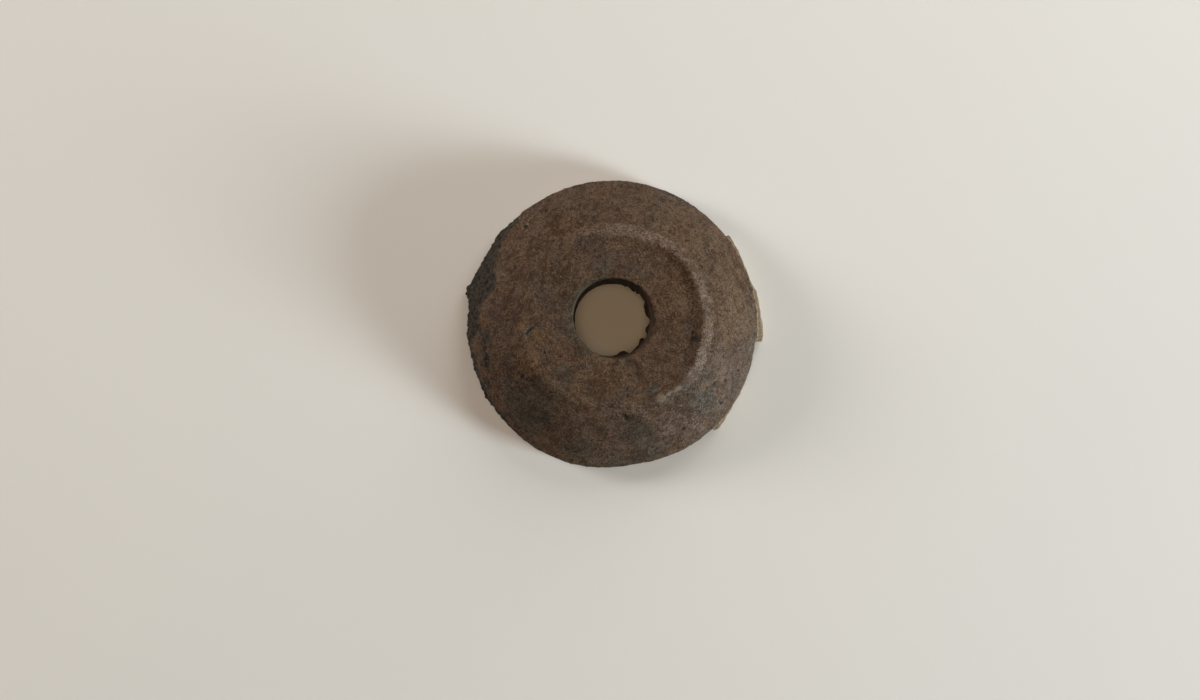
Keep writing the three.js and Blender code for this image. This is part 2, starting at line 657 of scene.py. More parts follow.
# Small holes in the top and the flank
PITS = (
    Spot(12.0, -2.1, 0.5, 0.16, 1.3, 30),
    Spot(-11.9, -0.9, 0.28, 0.16, 3.0, 53),
    Spot(-9.7, -4.0, 0.28, 0.18),
    Spot(-12.8, -7.5, 0.36, 0.16, 1.4, 60),
    Spot(-11.6, -8.1, 0.3, 0.14),
    Spot(-11.1, -8.8, 0.26, 0.12, 1.5, 20),
    Spot(-12.5, 14.2, 0.4, 0.2),
    Spot(-9.4, 16.5, 0.3, 0.14, 1.4, 40),
    Spot(-7.3, 13.3, 0.17, 0.1, 2.6, 95),
    Spot(-9.7, 12.1, 0.26, 0.12, 1.3, 60),
    Spot(-8.4, 12.0, 0.3, 0.12, 1.3, 30),
    Spot(-11.6, 11.9, 0.3, 0.1),
    Spot(-13.9, 8.3, 0.42, 0.12, 1.2, 120),
    Spot(-13.3, 7.6, 0.32, 0.1),
    Spot(-11.6, 7.1, 0.24, 0.08, 1.4, 0),
    Spot(-10.0, 7.1, 0.3, 0.1),
    Spot(-14.3, 6.5, 0.26, 0.08),
    Spot(-14.3, 4.9, 0.4, 0.1, 1.5, 80),
    Spot(-3.9, 9.1, 0.36, 0.08, 1.3, 10),
    Spot(2.3, -10.3, 0.32, 0.12),
    Spot(2.0, -13.3, 0.4, 0.16, 2.0, 140),
    Spot(1.7, -12.1, 0.22, 0.08),
    Spot(18.4, -6.6, 0.3, 0.16),
    Spot(16.5, -8.1, 0.26, 0.16, 1.5, 20),
    Spot(15.4, -6.6, 0.22, 0.08),
    Spot(15.9, -11.3, 0.28, 0.18),
    Spot(14.8, -8.6, 0.24, 0.18, 1.8, 50),
    Spot(12.4, -12.7, 0.2, 0.08),
    Spot(10.4, -15.0, 0.26, 0.18, 1.6, 60),
    Spot(6.7, -11.8, 0.26, 0.14),
    Spot(-2.7, 15.4, 0.24, 0.08),
    Spot(-18.3, -3.5, 0.26, 0.16, 1.6, 70),
    Spot(-18.1, -4.9, 0.24, 0.2, 1.7, 100),
    Spot(-18.0, -6.0, 0.28, 0.22, 1.6, 80),
    Spot(-18.9, -5.9, 0.24, 0.16, 1.3, 130),
    Spot(-19.5, -0.6, 0.26, 0.16),
    Spot(-18.3, 6.0, 0.3, 0.14, 2.0, 20),
)

# Stains and marks of each colour
STAINS: dict[Layer, tuple[Spot, ...]] = {
    Layer.OCHRE: (
        Spot(-12.2, -5.4, 2.3, 0.9),
        Spot(-15.1, 4.0, 1.9, 0.7),
        Spot(-8.8, 2.5, 1.2, 0.7),
        Spot(-10.5, -2.2, 1.9, 0.7),
        Spot(-0.7, -7.8, 2.4, 0.7, 1.7),
        Spot(2.3, -12.4, 1.1, 0.8),
        Spot(-4.0, -11.7, 1.3, 0.7),
        Spot(0.8, 11.7, 1.7, 0.6, 1.5),
        Spot(11.1, -8.2, 0.5, 1.0, 1.5, 10),
        Spot(9.7, -14.4, 0.7, 1.0),
        Spot(16.0, -10.2, 0.8, 0.6),
        Spot(2.3, -18.0, 0.9, 0.8),
        Spot(-18.4, 0.6, 0.8, 1.0, 1.8, 80),
        Spot(8.0, 5.5, 4.0, 0.6),
        Spot(17.0, 3.0, 5.0, 0.6, 1.6, 90),
        Spot(11.5, 12.5, 4.0, 0.5, 1.5, 135),
    ),
    Layer.RED: (
        Spot(-15.8, -7.6, 2.3, 0.5),
        Spot(-17.3, 2.4, 1.9, 0.7),
        Spot(-16.0, 3.0, 3.0, 0.6, 1.4, 100),
        Spot(-15.3, -2.5, 2.3, 0.6),
        Spot(-20.0, -4.6, 0.9, 0.9, 2.6, 105),
        Spot(-6.1, -14.9, 3.0, 0.9),
        Spot(0.8, -16.8, 2.4, 0.8),
        Spot(15.9, 3.9, 0.7, 0.7),
        Spot(10.2, -8.1, 0.35, 1.0),
        Spot(10.0, 10.7, 0.6, 0.6),
        Spot(-20.4, -1.8, 0.7, 1.0, 1.8, 90),
    ),
    Layer.PURPLE: (
        Spot(-3.7, 11.5, 1.7, 0.9),
        Spot(-8.0, 9.7, 1.8, 0.8),
        Spot(-8.8, 3.4, 2.3, 0.8, 1.3, 150),
        Spot(-6.9, 0.8, 1.5, 0.7, 1.5, 90),
        Spot(2.7, 8.3, 1.2, 0.8),
        Spot(-0.5, 9.8, 2.2, 0.6, 1.8),
        Spot(11.6, -1.8, 1.5, 0.9, 1.5, 100),
        Spot(5.3, -4.9, 1.4, 0.7),
        Spot(6.4, -6.8, 1.2, 0.6),
        Spot(-9.0, -4.6, 1.3, 0.6),
        Spot(-16.6, -1.0, 2.0, 0.5),
        Spot(-15.4, -6.6, 2.2, 0.6),
        Spot(-0.5, 14.5, 1.6, 0.4, 1.6),
        Spot(0.5, 17.9, 2.0, 0.4, 1.5),
    ),
    Layer.PINK: (
        Spot(-0.7, -12.2, 1.5, 0.6, 2.4, -10),
        Spot(-8.3, -7.6, 1.5, 0.4),
        Spot(8.7, -14.2, 2.6, 0.9),
        Spot(12.0, -15.2, 2.6, 0.8),
        Spot(17.0, -6.3, 2.8, 0.5, 1.3, 70),
        Spot(15.0, -4.0, 1.3, 0.7, 1.5, 80),
        Spot(5.0, -12.6, 1.6, 0.6),
        Spot(14.0, -8.8, 0.45, 1.0),
        Spot(0.0, 16.7, 1.6, 0.3, 1.6),
    ),
    Layer.OLIVE: (
        Spot(-1.1, 8.3, 1.2, 0.9, 1.3),
        Spot(3.7, -15.4, 2.9, 0.9, 1.2, 130),
        Spot(-5.0, -17.9, 2.3, 0.9, 1.4),
        Spot(5.5, -18.0, 2.2, 0.8, 1.4, 20),
        Spot(-6.8, -7.1, 1.9, 0.95),
        Spot(-15.0, -5.0, 1.2, 0.7),
        Spot(-18.8, -1.8, 0.9, 0.9, 2.0, 95),
        Spot(-18.5, -4.8, 0.9, 0.9, 2.2, 103),
        Spot(-18.4, -8.6, 0.8, 0.8, 2.0, 115),
    ),
    Layer.GREY: (
        Spot(13.6, -10.8, 2.2, 0.9, 1.2, 60),
        Spot(13.7, -7.4, 1.3, 0.8, 1.4, 60),
        Spot(-11.9, -0.9, 0.75, 0.8, 1.8, 60),
        Spot(-4.3, -3.9, 0.9, 0.9),
        Spot(2.0, -5.2, 0.7, 0.9, 1.4),
        Spot(4.6, -16.8, 1.6, 0.4),
    ),
    Layer.DARK: (
        Spot(-12.3, -11.7, 4.6, 0.9, 1.3, 130),
        Spot(-4.6, -17.6, 2.2, 0.4),
        Spot(5.9, -9.4, 1.0, 0.9, 1.5, 40),
        Spot(10.6, -9.5, 0.7, 0.6, 2.0, 40),
        Spot(12.2, -2.0, 0.9, 0.9),
        Spot(-1.3, 8.3, 0.9, 0.5, 1.3),
        Spot(-11.1, 3.9, 0.6, 0.6),
        Spot(2.0, -13.3, 0.7, 0.8, 1.8, 140),
        Spot(-12.2, -8.0, 0.9, 0.7, 1.3, 120),
        Spot(7.8, -17.6, 1.1, 0.6),
    ),
    Layer.CRUST: (
        Spot(-18.3, -2.0, 0.7, 0.7, 1.6, 95),
        Spot(-18.2, -5.1, 0.6, 0.8, 2.4, 100),
        Spot(-19.4, -0.5, 0.6, 0.7),
        Spot(-18.2, -8.3, 0.5, 0.7, 2.0, 115),
    ),
    Layer.PALE: (
        Spot(7.1, -10.6, 0.85, 0.75),
        Spot(6.2, -9.5, 0.3, 0.7),
        Spot(9.7, -9.1, 0.4, 0.85, 1.3, 40),
        Spot(9.1, -9.5, 0.25, 0.7),
        Spot(8.3, -9.9, 0.26, 0.85, 2.4, 40),
        Spot(11.3, -6.9, 0.3, 0.85),
        Spot(11.7, -7.4, 0.26, 0.75),
        Spot(12.7, -2.6, 0.18, 0.8),
        Spot(9.9, -11.6, 0.16, 1.0, 3.2, -10),
        Spot(10.6, -14.2, 0.14, 0.9, 3.6, 5),
        Spot(6.2, -17.9, 0.12, 0.7, 8.0, 25),
        Spot(-8.3, -1.0, 0.2, 0.8),
        Spot(-7.4, -1.8, 0.14, 0.8, 3.6, -45),
        Spot(-5.8, -3.8, 0.22, 0.7),
        Spot(-12.9, 14.0, 0.22, 0.9),
        Spot(-12.2, 14.6, 0.2, 0.9),
        Spot(-1.1, 20.0, 0.12, 0.8, 6.5, 90),
        Spot(-15.6, 7.2, 0.15, 0.9, 3.0, 35),
        Spot(-17.5, 6.7, 0.12, 0.6, 4.5, 25),
        Spot(-13.3, 9.5, 0.13, 0.7, 7.0, 22),
        Spot(-4.7, 12.5, 0.2, 0.9),
        Spot(-7.3, 6.9, 0.18, 0.9),
        Spot(-9.9, 0.5, 0.16, 0.8),
        Spot(-13.7, 5.1, 0.16, 0.7),
        Spot(-2.1, -11.2, 0.2, 0.6, 2.0, 20),
    ),
}

# Width of the dark crumbled edge, as points of angle and of width in from the rim
CRUST_WIDTH = (
    (128, 0.0),
    (137, 0.7),
    (147, 1.4),
    (153, 1.9),
    (160, 3.3),
    (166, 2.8),
    (171, 1.9),
    (180, 1.9),
    (185, 1.0),
    (192, 0.5),
    (205, 0.6),
    (218, 0.3),
    (232, 0.0),
)

# How strongly the ring is rubbed and lit with painted sheen, as points of angle and of strength; strongest
# where the lights come from
RING_WEAR_AND_SHEEN = (
    (0, 0.58),
    (15, 0.62),
    (50, 0.6),
    (70, 0.72),
    (92, 0.62),
    (115, 0.3),
    (150, 0.25),
    (200, 0.2),
    (230, 0.1),
    (260, 0.35),
    (285, 0.55),
    (303, 0.4),
    (312, 0.15),
    (322, 0.3),
    (328, 0.65),
    (350, 0.65),
    (360, 0.58),
)

CRUST_SOFT = 0.9  # half the width of its soft border
CRUST_LEAST = 0.05  # an edge narrower than this has none

# Rubbed band with its painted sheen, by distance out from the ring's crest
RUBBED_SHEEN_INNER = Fade(-0.4, 0.1)
RUBBED_SHEEN_OUTER = Fade(2.2, 1.3)

# Pale bone on the broken side, by place along the section past the rim's top edge
PALE_REACH = 0.2  # an old edge that stands out less than this shows none
PALE_FROM = 0.06
PALE_START = Fade(0.0, 0.06)
PALE_INNER_BORDER = Fade(0.3, 0.15)
PALE_OUTER_BORDER = Fade(0.55, 0.75)
PALE_FOOT = Fade(Knot.RIM_FOOT + 0.02, Knot.RIM_FOOT)

# Hole: its broken lower lip, its wall darkened with painted shade, and the grey band along one side of its
# upper lip
ROUGH_SIDE = Side(340.0, 70.0, 95.0)
ROUGH_LIP_TOP = Fade(2.6, 1.6)
SHADED_SIDE = Side(130.0, 70.0, 110.0)
LIT_WALL_SHADE = 0.45  # how much painted shade the wall gets on its lit side
# The wall's painted shade fades out up the hole's lip
WALL_SHADE_TOP = Fade(Knot.LIP + 1.9, Knot.LIP + 1.2)
GREY_SIDE = Side(150.0, 45.0, 75.0)
GREY_STRENGTH = 0.9
GREY_BAND = Fade(1.5, 0.8)  # out from the hole's edge

# Spongy bone underneath, by distance from the middle
SPONGE_OUTER = Fade(19.6, 17.6)
SPONGE_INNER = Fade(5.6, 6.4)

# Borders of stains, of pale marks and of pits, by share of their radius
STAIN_BORDER = Fade(1.15, 0.45)
MARK_BORDER = Fade(1.15, 0.7)
PIT_BORDER = Fade(1.15, 0.5)
PIT_STEEPNESS = 2.0
PIT_SHADE = 0.1  # how dark the shallowest pit is
PIT_SHADE_RISE = 5.0  # and how much darker each millimetre of depth makes it

RELIEFS = (
    Relief(None, Pattern.CLOUDS, 6.0, 0.16),
    Relief(None, Pattern.CLOUDS, 0.9, 0.06),
    Relief(Layer.CRUST, Pattern.CLOUDS, 1.0, 0.5),
    Relief(Layer.CRUST, Pattern.CELLS, 0.7, -0.3, 0.0),
    Relief(Layer.BROKEN, Pattern.CLOUDS, 0.8, 0.3),
    Relief(Layer.SPONGE, Pattern.CELLS, 0.9, -0.5, 0.0),
)


@dataclass
class SurfaceMap:
    """Where each vertex lies on the whorl, and what it shows there."""

    form: WhorlForm
    points: np.ndarray
    place: np.ndarray
    angle: np.ndarray
    wobble: np.ndarray = field(init=False)
    fine_wobble: np.ndarray = field(init=False)

    def __post_init__(self) -> None:
        """Works out two smooth noises that break up every border."""
        self.wobble = self.noise_at(0.55, 7.0)
        self.fine_wobble = self.noise_at(1.9, 31.0)

    def noise_at(self, scale: float, offset: float) -> np.ndarray:
        """Smooth noise at each vertex, from about -1 to 1.

        Args:
            scale: waves to the millimetre.
            offset: moves the pattern, so that two noises differ.

        Returns:
            One value for each vertex.
        """
        shift = Vector((offset, offset, offset))
        return np.array([noise.noise(Vector(point) * scale + shift) for point in self.points.tolist()])

    def between(self, first: float, last: float, soft: float = 0.4) -> np.ndarray:
        """1 between two places along the section, with soft ends."""
        return soft_step(self.place, first - soft, first) * soft_step(self.place, last + soft, last)

    def in_from_rim(self) -> np.ndarray:
        """Distance in from the rim's top edge, seen from above."""
        return self.form.rim_top_at(self.angle) - np.hypot(self.points[:, 0], self.points[:, 1])

    def past_crest(self) -> np.ndarray:
        """Distance out from the ring's crest, seen from above."""
        angle = np.degrees(np.arctan2(self.points[:, 1], self.points[:, 0]))
        return np.hypot(self.points[:, 0], self.points[:, 1]) - self.form.crest.at(angle)

    def wear(self) -> np.ndarray:
        """The rubbed band on the ring with its painted sheen, strongest on the lit side.

        Returns:
            A strength for each vertex.
        """
        past = self.past_crest() + 0.25 * self.wobble
        band = RUBBED_SHEEN_INNER.at(past) * RUBBED_SHEEN_OUTER.at(past)
        wear_sheen_angles, strengths = zip(*RING_WEAR_AND_SHEEN)
        strength = np.interp(np.mod(self.angle, 360), wear_sheen_angles, strengths)
        return band * strength * self.between(Knot.FACE, Knot.RIM_TOP)

    def crust(self) -> np.ndarray:
        """The dark crumbled edge on one side, and the rim below it.

        Returns:
            A strength for each vertex.
        """
        crust_angles, widths = zip(*CRUST_WIDTH)
        width = np.interp(np.mod(self.angle, 360), crust_angles, widths, left=0.0, right=0.0)
        depth = self.in_from_rim() + 0.6 * self.wobble + 0.5 * self.fine_wobble
        above = soft_step(depth, width + CRUST_SOFT, width - CRUST_SOFT) * (width > CRUST_LEAST)
        return above * self.between(Knot.CREST, Knot.RIM_FOOT, 0.2)

    def fresh(self) -> tuple[np.ndarray, np.ndarray]:
        """Pale bone on the broken side of the stretches that broke last, and its paler borders.

        Returns:
            For each vertex the strength of the bone, and of the borders.
        """
        shown = [
            remnant.holds(self.angle) * (remnant.reach_at(self.angle) > PALE_REACH)
            for remnant in self.form.remnants
            if remnant.pale
        ]
        pale = np.max(shown, axis=0)
        past = self.place - Knot.RIM_TOP - PALE_FROM - 0.05 * self.fine_wobble
        bone = pale * PALE_START.at(past) * PALE_FOOT.at(self.place)
        inner = PALE_START.at(past) * PALE_INNER_BORDER.at(past)
        return bone, bone * np.maximum(inner, PALE_OUTER_BORDER.at(past))

    def broken(self) -> np.ndarray:
        """The rim's side all round, and the broken lower lip of the hole on its rough side.

        Returns:
            A strength for each vertex.
        """
        side = self.between(Knot.RIM_TOP + 0.1, Knot.RIM_FOOT, 0.12)
        lip = ROUGH_LIP_TOP.at(self.place) * ROUGH_SIDE.share(self.angle)
        return np.maximum(side, lip)

    def wall(self) -> np.ndarray:
        """Painted shade on the hole's wall, darker on the side in shade."""
        shade = SHADED_SIDE.share(self.angle)
        return (LIT_WALL_SHADE + (1.0 - LIT_WALL_SHADE) * shade) * WALL_SHADE_TOP.at(self.place)

    def sponge(self) -> np.ndarray:
        """Open spongy bone underneath, inside a dense rim.

        Returns:
            A strength for each vertex.
        """
        radius = np.hypot(self.points[:, 0], self.points[:, 1]) + 0.8 * self.wobble
        inside = SPONGE_OUTER.at(radius) * SPONGE_INNER.at(radius)
        return inside * (self.place > Knot.RIM_FOOT)

    def halo(self) -> np.ndarray:
        """The grey band along one side of the hole's lip.

        Returns:
            A strength for each vertex.
        """
        x, y = self.form.hole_centre
        from_hole = np.hypot(self.points[:, 0] - x, self.points[:, 1] - y)
        out = from_hole - self.form.hole_top_radius.at(self.angle)
        side = GREY_STRENGTH * GREY_SIDE.share(self.angle)
        band = side * GREY_BAND.at(out + 0.4 * self.wobble)
        return band * self.between(Knot.LIP, Knot.CREST)

    def stains(self, layer: Layer) -> np.ndarray:
        """All the stains of one colour, with uneven borders.

        Args:
            layer: the colour of the stains.

        Returns:
            A strength for each vertex.
        """
        if layer is Layer.PALE:
            border, uneven = MARK_BORDER, 0.15 * self.fine_wobble
        else:
            border, uneven = STAIN_BORDER, 0.3 * self.wobble + 0.16 * self.fine_wobble
        total = np.zeros(len(self.points))
        for stain in STAINS[layer]:
            away = stain.away(self.points) + uneven
            total = np.maximum(total, stain.strength * border.at(away))
        return total * self.between(Knot.LIP, Knot.RIM_TOP + 1)

    def pits(self) -> tuple[np.ndarray, np.ndarray]:
        """Depth of the small pits at each vertex, and how dark they are there.

        Returns:
            A depth and a darkness for each vertex.
        """
        depth, shade = np.zeros(len(self.points)), np.zeros(len(self.points))
        for pit in PITS:
            away = pit.away(self.points) * (1 + 0.45 * self.fine_wobble)
            depth = np.maximum(depth, pit.strength * np.exp(-PIT_STEEPNESS * away**2))
            darkness = min(1.0, PIT_SHADE + PIT_SHADE_RISE * pit.strength)
            shade = np.maximum(shade, darkness * PIT_BORDER.at(away))
        top = self.between(Knot.LIP, Knot.RIM_TOP)
        return depth * top, shade * top

    def layers(self) -> dict[Layer, np.ndarray]:
        """Every layer but the pits.

        Returns:
            For each layer, a strength for each vertex.
        """
        fresh, border = self.fresh()
        found = {
            Layer.WEAR: self.wear(),
            Layer.FRESH: fresh,
            Layer.BORDER: border,
            Layer.BROKEN: self.broken(),
            Layer.WALL: self.wall(),
            Layer.SPONGE: self.sponge(),
        }
        for layer in STAINS:
            found[layer] = self.stains(layer)
        found[Layer.OLIVE] = np.maximum(found[Layer.OLIVE], self.halo())
        found[Layer.CRUST] = np.maximum(found[Layer.CRUST], self.crust())
        return found


@dataclass
class Whorl:
    """The finished whorl: the fine surface with its breaks, pits and roughness, in the solid's place."""

    surface: WhorlSurface = field(default_factory=WhorlSurface)
    triangles: int = 190_000  # the surface is thinned to this many

    def build(self) -> bpy.types.Object:
        """Makes the piece, and lets it stand for the solid.

        Returns:
            The piece.
        """
        whorl, place, angle = self.surface.build()
        mapped = SurfaceMap(self.surface.form, read_points(whorl), place, angle)
        layers = mapped.layers()
        depth, shade = mapped.pits()
        layers[Layer.PIT] = shade
        for layer, values in layers.items():
            attribute = whorl.data.attributes.new(layer.value, "FLOAT", "POINT")
            attribute.data.foreach_set("value", np.clip(values, 0, 1).astype(np.float32))
        sunk = mapped.points.copy()
        sunk[:, 2] -= depth
        write_points(whorl, sunk)
        for number, relief in enumerate(RELIEFS):
            self.press(whorl, relief, number, layers, mapped)
        self.settle(whorl)
        self.thin_out(whorl)
        bpy.ops.object.shade_smooth()
        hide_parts(NODE)
        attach(whorl, "root")
        log.info("%s: %d faces", whorl.name, len(whorl.data.polygons))
        return whorl

    def press(
        self, whorl: bpy.types.Object, relief: Relief, number: int,
        layers: dict[Layer, np.ndarray], mapped: SurfaceMap,
    ) -> None:
        """Presses one layer of roughness into the surface.

        Args:
            whorl: the piece.
            relief: what is pressed in.
            number: its place in the list, for its names.
            layers: for each layer, a strength for each vertex.
            mapped: where each vertex lies.
        """
        texture = bpy.data.textures.new(f"relief_{number}", relief.pattern.value)
        texture.noise_scale = relief.grain * MM
        if relief.pattern is Pattern.CLOUDS:
            texture.noise_depth = 3
        group = whorl.vertex_groups.new(name=f"relief_{number}")
        weights = mapped.place < Knot.RIM_FOOT if relief.layer is None else layers[relief.layer]
        levels = (np.clip(weights, 0, 1) * WEIGHT_STEPS).round().astype(int)
        for level in range(1, WEIGHT_STEPS + 1):
            chosen = np.flatnonzero(levels == level).tolist()
            if chosen:
                group.add(chosen, level / WEIGHT_STEPS, "REPLACE")
        pressing = whorl.modifiers.new("pressing", "DISPLACE")
        pressing.texture = texture
        pressing.texture_coords = "LOCAL"
        pressing.strength = relief.height * MM
        pressing.mid_level = relief.middle
        pressing.vertex_group = group.name
        bpy.ops.object.modifier_apply(modifier=pressing.name)
        whorl.vertex_groups.clear()
        bpy.data.textures.remove(texture)

    def settle(self, whorl: bpy.types.Object) -> None:
        """Puts the surface in the solid's place and keeps it on or above the underside's plane.

        Args:
            whorl: the piece.
        """
        low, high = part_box(NODE)
        knots = self.surface.form.knots(np.arange(0.0, 360.0, 0.5)).reshape(-1, 3)
        middle = (knots.max(0) + knots.min(0)) / 2
        points = read_points(whorl)
        points[:, 0] += (low.x + high.x) / 2 / MM - middle[0]
        points[:, 1] += (low.y + high.y) / 2 / MM - middle[1]
        points[:, 2] = np.clip(points[:, 2], low.z / MM, high.z / MM)
        write_points(whorl, points)

    def thin_out(self, whorl: bpy.types.Object) -> None:
        """Keeps the small triangles where the surface is rough.

        Args:
            whorl: the piece.
        """
        thinning = whorl.modifiers.new("thinning", "DECIMATE")
        uncut = 2 * len(whorl.data.polygons)  # each face is two triangles
        thinning.ratio = min(1.0, self.triangles / uncut)
        bpy.ops.object.modifier_apply(modifier=thinning.name)


# ---------------------------------------------------------------------------------------------
# Finishes


def with_alpha(colour: Paint) -> Socket | tuple[float, float, float, float]:
    """A colour as a socket takes it, or the socket itself."""
    return (*colour, 1.0) if isinstance(colour, tuple) else colour


class NodeKit:
    """Adds nodes to one material and joins them, so that a finish reads as a list of steps."""

    def __init__(self, name: str) -> None:
        """Starts a material with a shader and the place in millimetres.

        Args:
            name: the material's name.
        """
        self.material = bpy.data.materials.new(name)
        self.material.use_nodes = True
        self.tree = self.material.node_tree
        self.shader = self.tree.nodes["Principled BSDF"]
        coordinates = self.tree.nodes.new("ShaderNodeTexCoord")
        self.millimetres = self.scaled(coordinates.outputs["Object"], 1 / MM)

    def node(self, kind: str, inputs: Inputs, **settings: object) -> bpy.types.Node:
        """Adds a node, sets its properties, and fills or joins its inputs.

        Args:
            kind: which node.
            inputs: for each input, a number, a vector or a socket to join.
            settings: the node's properties.

        Returns:
            The node.
        """
        made = self.tree.nodes.new(kind)
        for key, value in settings.items():
            setattr(made, key, value)
        for key, value in inputs.items():
            if isinstance(value, Socket):
                self.tree.links.new(value, made.inputs[key])
            else:
                made.inputs[key].default_value = value
        return made

    def scaled(self, vector: Socket, scale: float) -> Socket:
        """A vector times a number."""
        return self.vector_maths("SCALE", {0: vector, "Scale": scale})

    def noise(
        self, scale: float, detail: float = 2.0, roughness: float = 0.55, distortion: float = 0.0,
        vector: Socket | None = None,
    ) -> Socket:
        """Cloudy noise with so many waves to the millimetre.

        Args:
            scale: waves to the millimetre, or to the unit of the vector.
            detail: how many finer noises are added.
            roughness: how strong those are.
            distortion: how far it is warped.
            vector: where it is read, or None for the place in millimetres.

        Returns:
            A value from 0 to 1, mostly near 0.5.
        """
        inputs = {
            "Vector": vector or self.millimetres, "Scale": scale, "Detail": detail,
            "Roughness": roughness, "Distortion": distortion,
        }
        return self.node("ShaderNodeTexNoise", inputs).outputs["Fac"]

    def turned(self, degrees: float, scale: tuple[float, float, float]) -> Socket:
        """The place in millimetres, turned about Z and stretched."""
        inputs = {"Vector": self.millimetres, "Rotation": (0.0, 0.0, math.radians(degrees)), "Scale": scale}
        return self.node("ShaderNodeMapping", inputs, vector_type="TEXTURE").outputs[0]

    def round_the_whorl(self, waves: float, across: float = 2.4, radius: float = 16.0) -> Socket:
        """A place measured round the whorl and out from its middle, without a seam.

        Args:
            waves: waves to the millimetre round the whorl, at the radius given.
            across: waves to the millimetre outward.
            radius: where the waves have that length.

        Returns:
            A vector for a noise whose scale is 1.
        """
        flat = self.vector_maths("MULTIPLY", {0: self.millimetres, 1: (1.0, 1.0, 0.0)})
        direction = self.vector_maths("NORMALIZE", {0: flat})
        length = self.vector_maths("LENGTH", {0: flat}, "Value")
        height = self.maths("MULTIPLY", length, across)
        outward = self.node("ShaderNodeCombineXYZ", {"Z": height}).outputs[0]
        along = self.scaled(direction, waves * radius)
        return self.vector_maths("ADD", {0: along, 1: outward})

    def cell_borders(self, scale: float) -> Socket:
        """Distance to the nearest border between cells."""
        inputs = {"Vector": self.millimetres, "Scale": scale}
        return self.node("ShaderNodeTexVoronoi", inputs, feature="DISTANCE_TO_EDGE").outputs["Distance"]

    def rise(
        self, value: Socket, low: float, high: float, start: float = 0.0, end: float = 1.0
    ) -> Socket:
        """Maps low..high to start..end, clamped."""
        inputs = {"Value": value, "From Min": low, "From Max": high, "To Min": start, "To Max": end}
        return self.node("ShaderNodeMapRange", inputs, clamp=True).outputs["Result"]

    def maths(self, operation: str, first: Value, second: Value = 0.0) -> Socket:
        """One sum of two numbers or sockets."""
        return self.node("ShaderNodeMath", {0: first, 1: second}, operation=operation).outputs[0]

    def vector_maths(self, operation: str, inputs: Inputs, output: int | str = 0) -> Socket:
        """One sum of vectors."""
        return self.node("ShaderNodeVectorMath", inputs, operation=operation).outputs[output]

    def where(self, layer: Layer) -> Socket:
        """One of the surface's own layers."""
        return self.node("ShaderNodeAttribute", {}, attribute_name=layer.value).outputs["Fac"]

    def ragged(self, layer: Layer, waves: float, low: float, high: float, share: float) -> Socket:
        """One of the surface's own layers with its borders broken up by noise.

        Args:
            layer: which layer.
            waves: waves of the noise to the millimetre.
            low: value of the layer and noise together where it starts, no less than 0.35.
            high: value where it is full.
            share: how strong it is there.

        Returns:
            A value from 0 to that share.
        """
        uneven = self.rise(self.noise(waves, 5.0, 0.72), 0.28, 0.72, -0.35, 0.35)
        return self.rise(self.maths("ADD", self.where(layer), uneven), low, high, 0.0, share)

    def mix(self, share: Value, under: Paint, over: Paint, blend: str = "MIX") -> Socket:
        """Lays one colour over another.

        Args:
            share: how much of the second colour.
            under: the first colour.
            over: the second colour.
            blend: how the two are mixed.

        Returns:
            The mixed colour.
        """
        inputs = {"Factor": share, MIX_UNDER: with_alpha(under), MIX_OVER: with_alpha(over)}
        made = self.node("ShaderNodeMix", inputs, data_type="RGBA", blend_type=blend)
        return made.outputs[MIX_RESULT]


@dataclass(frozen=True)
class Mottle:
    """One scale of light and dark in the bone."""

    waves: float  # to the millimetre
    contrast: float
    detail: float = 1.0
    around: bool = False  # drawn out round the whorl


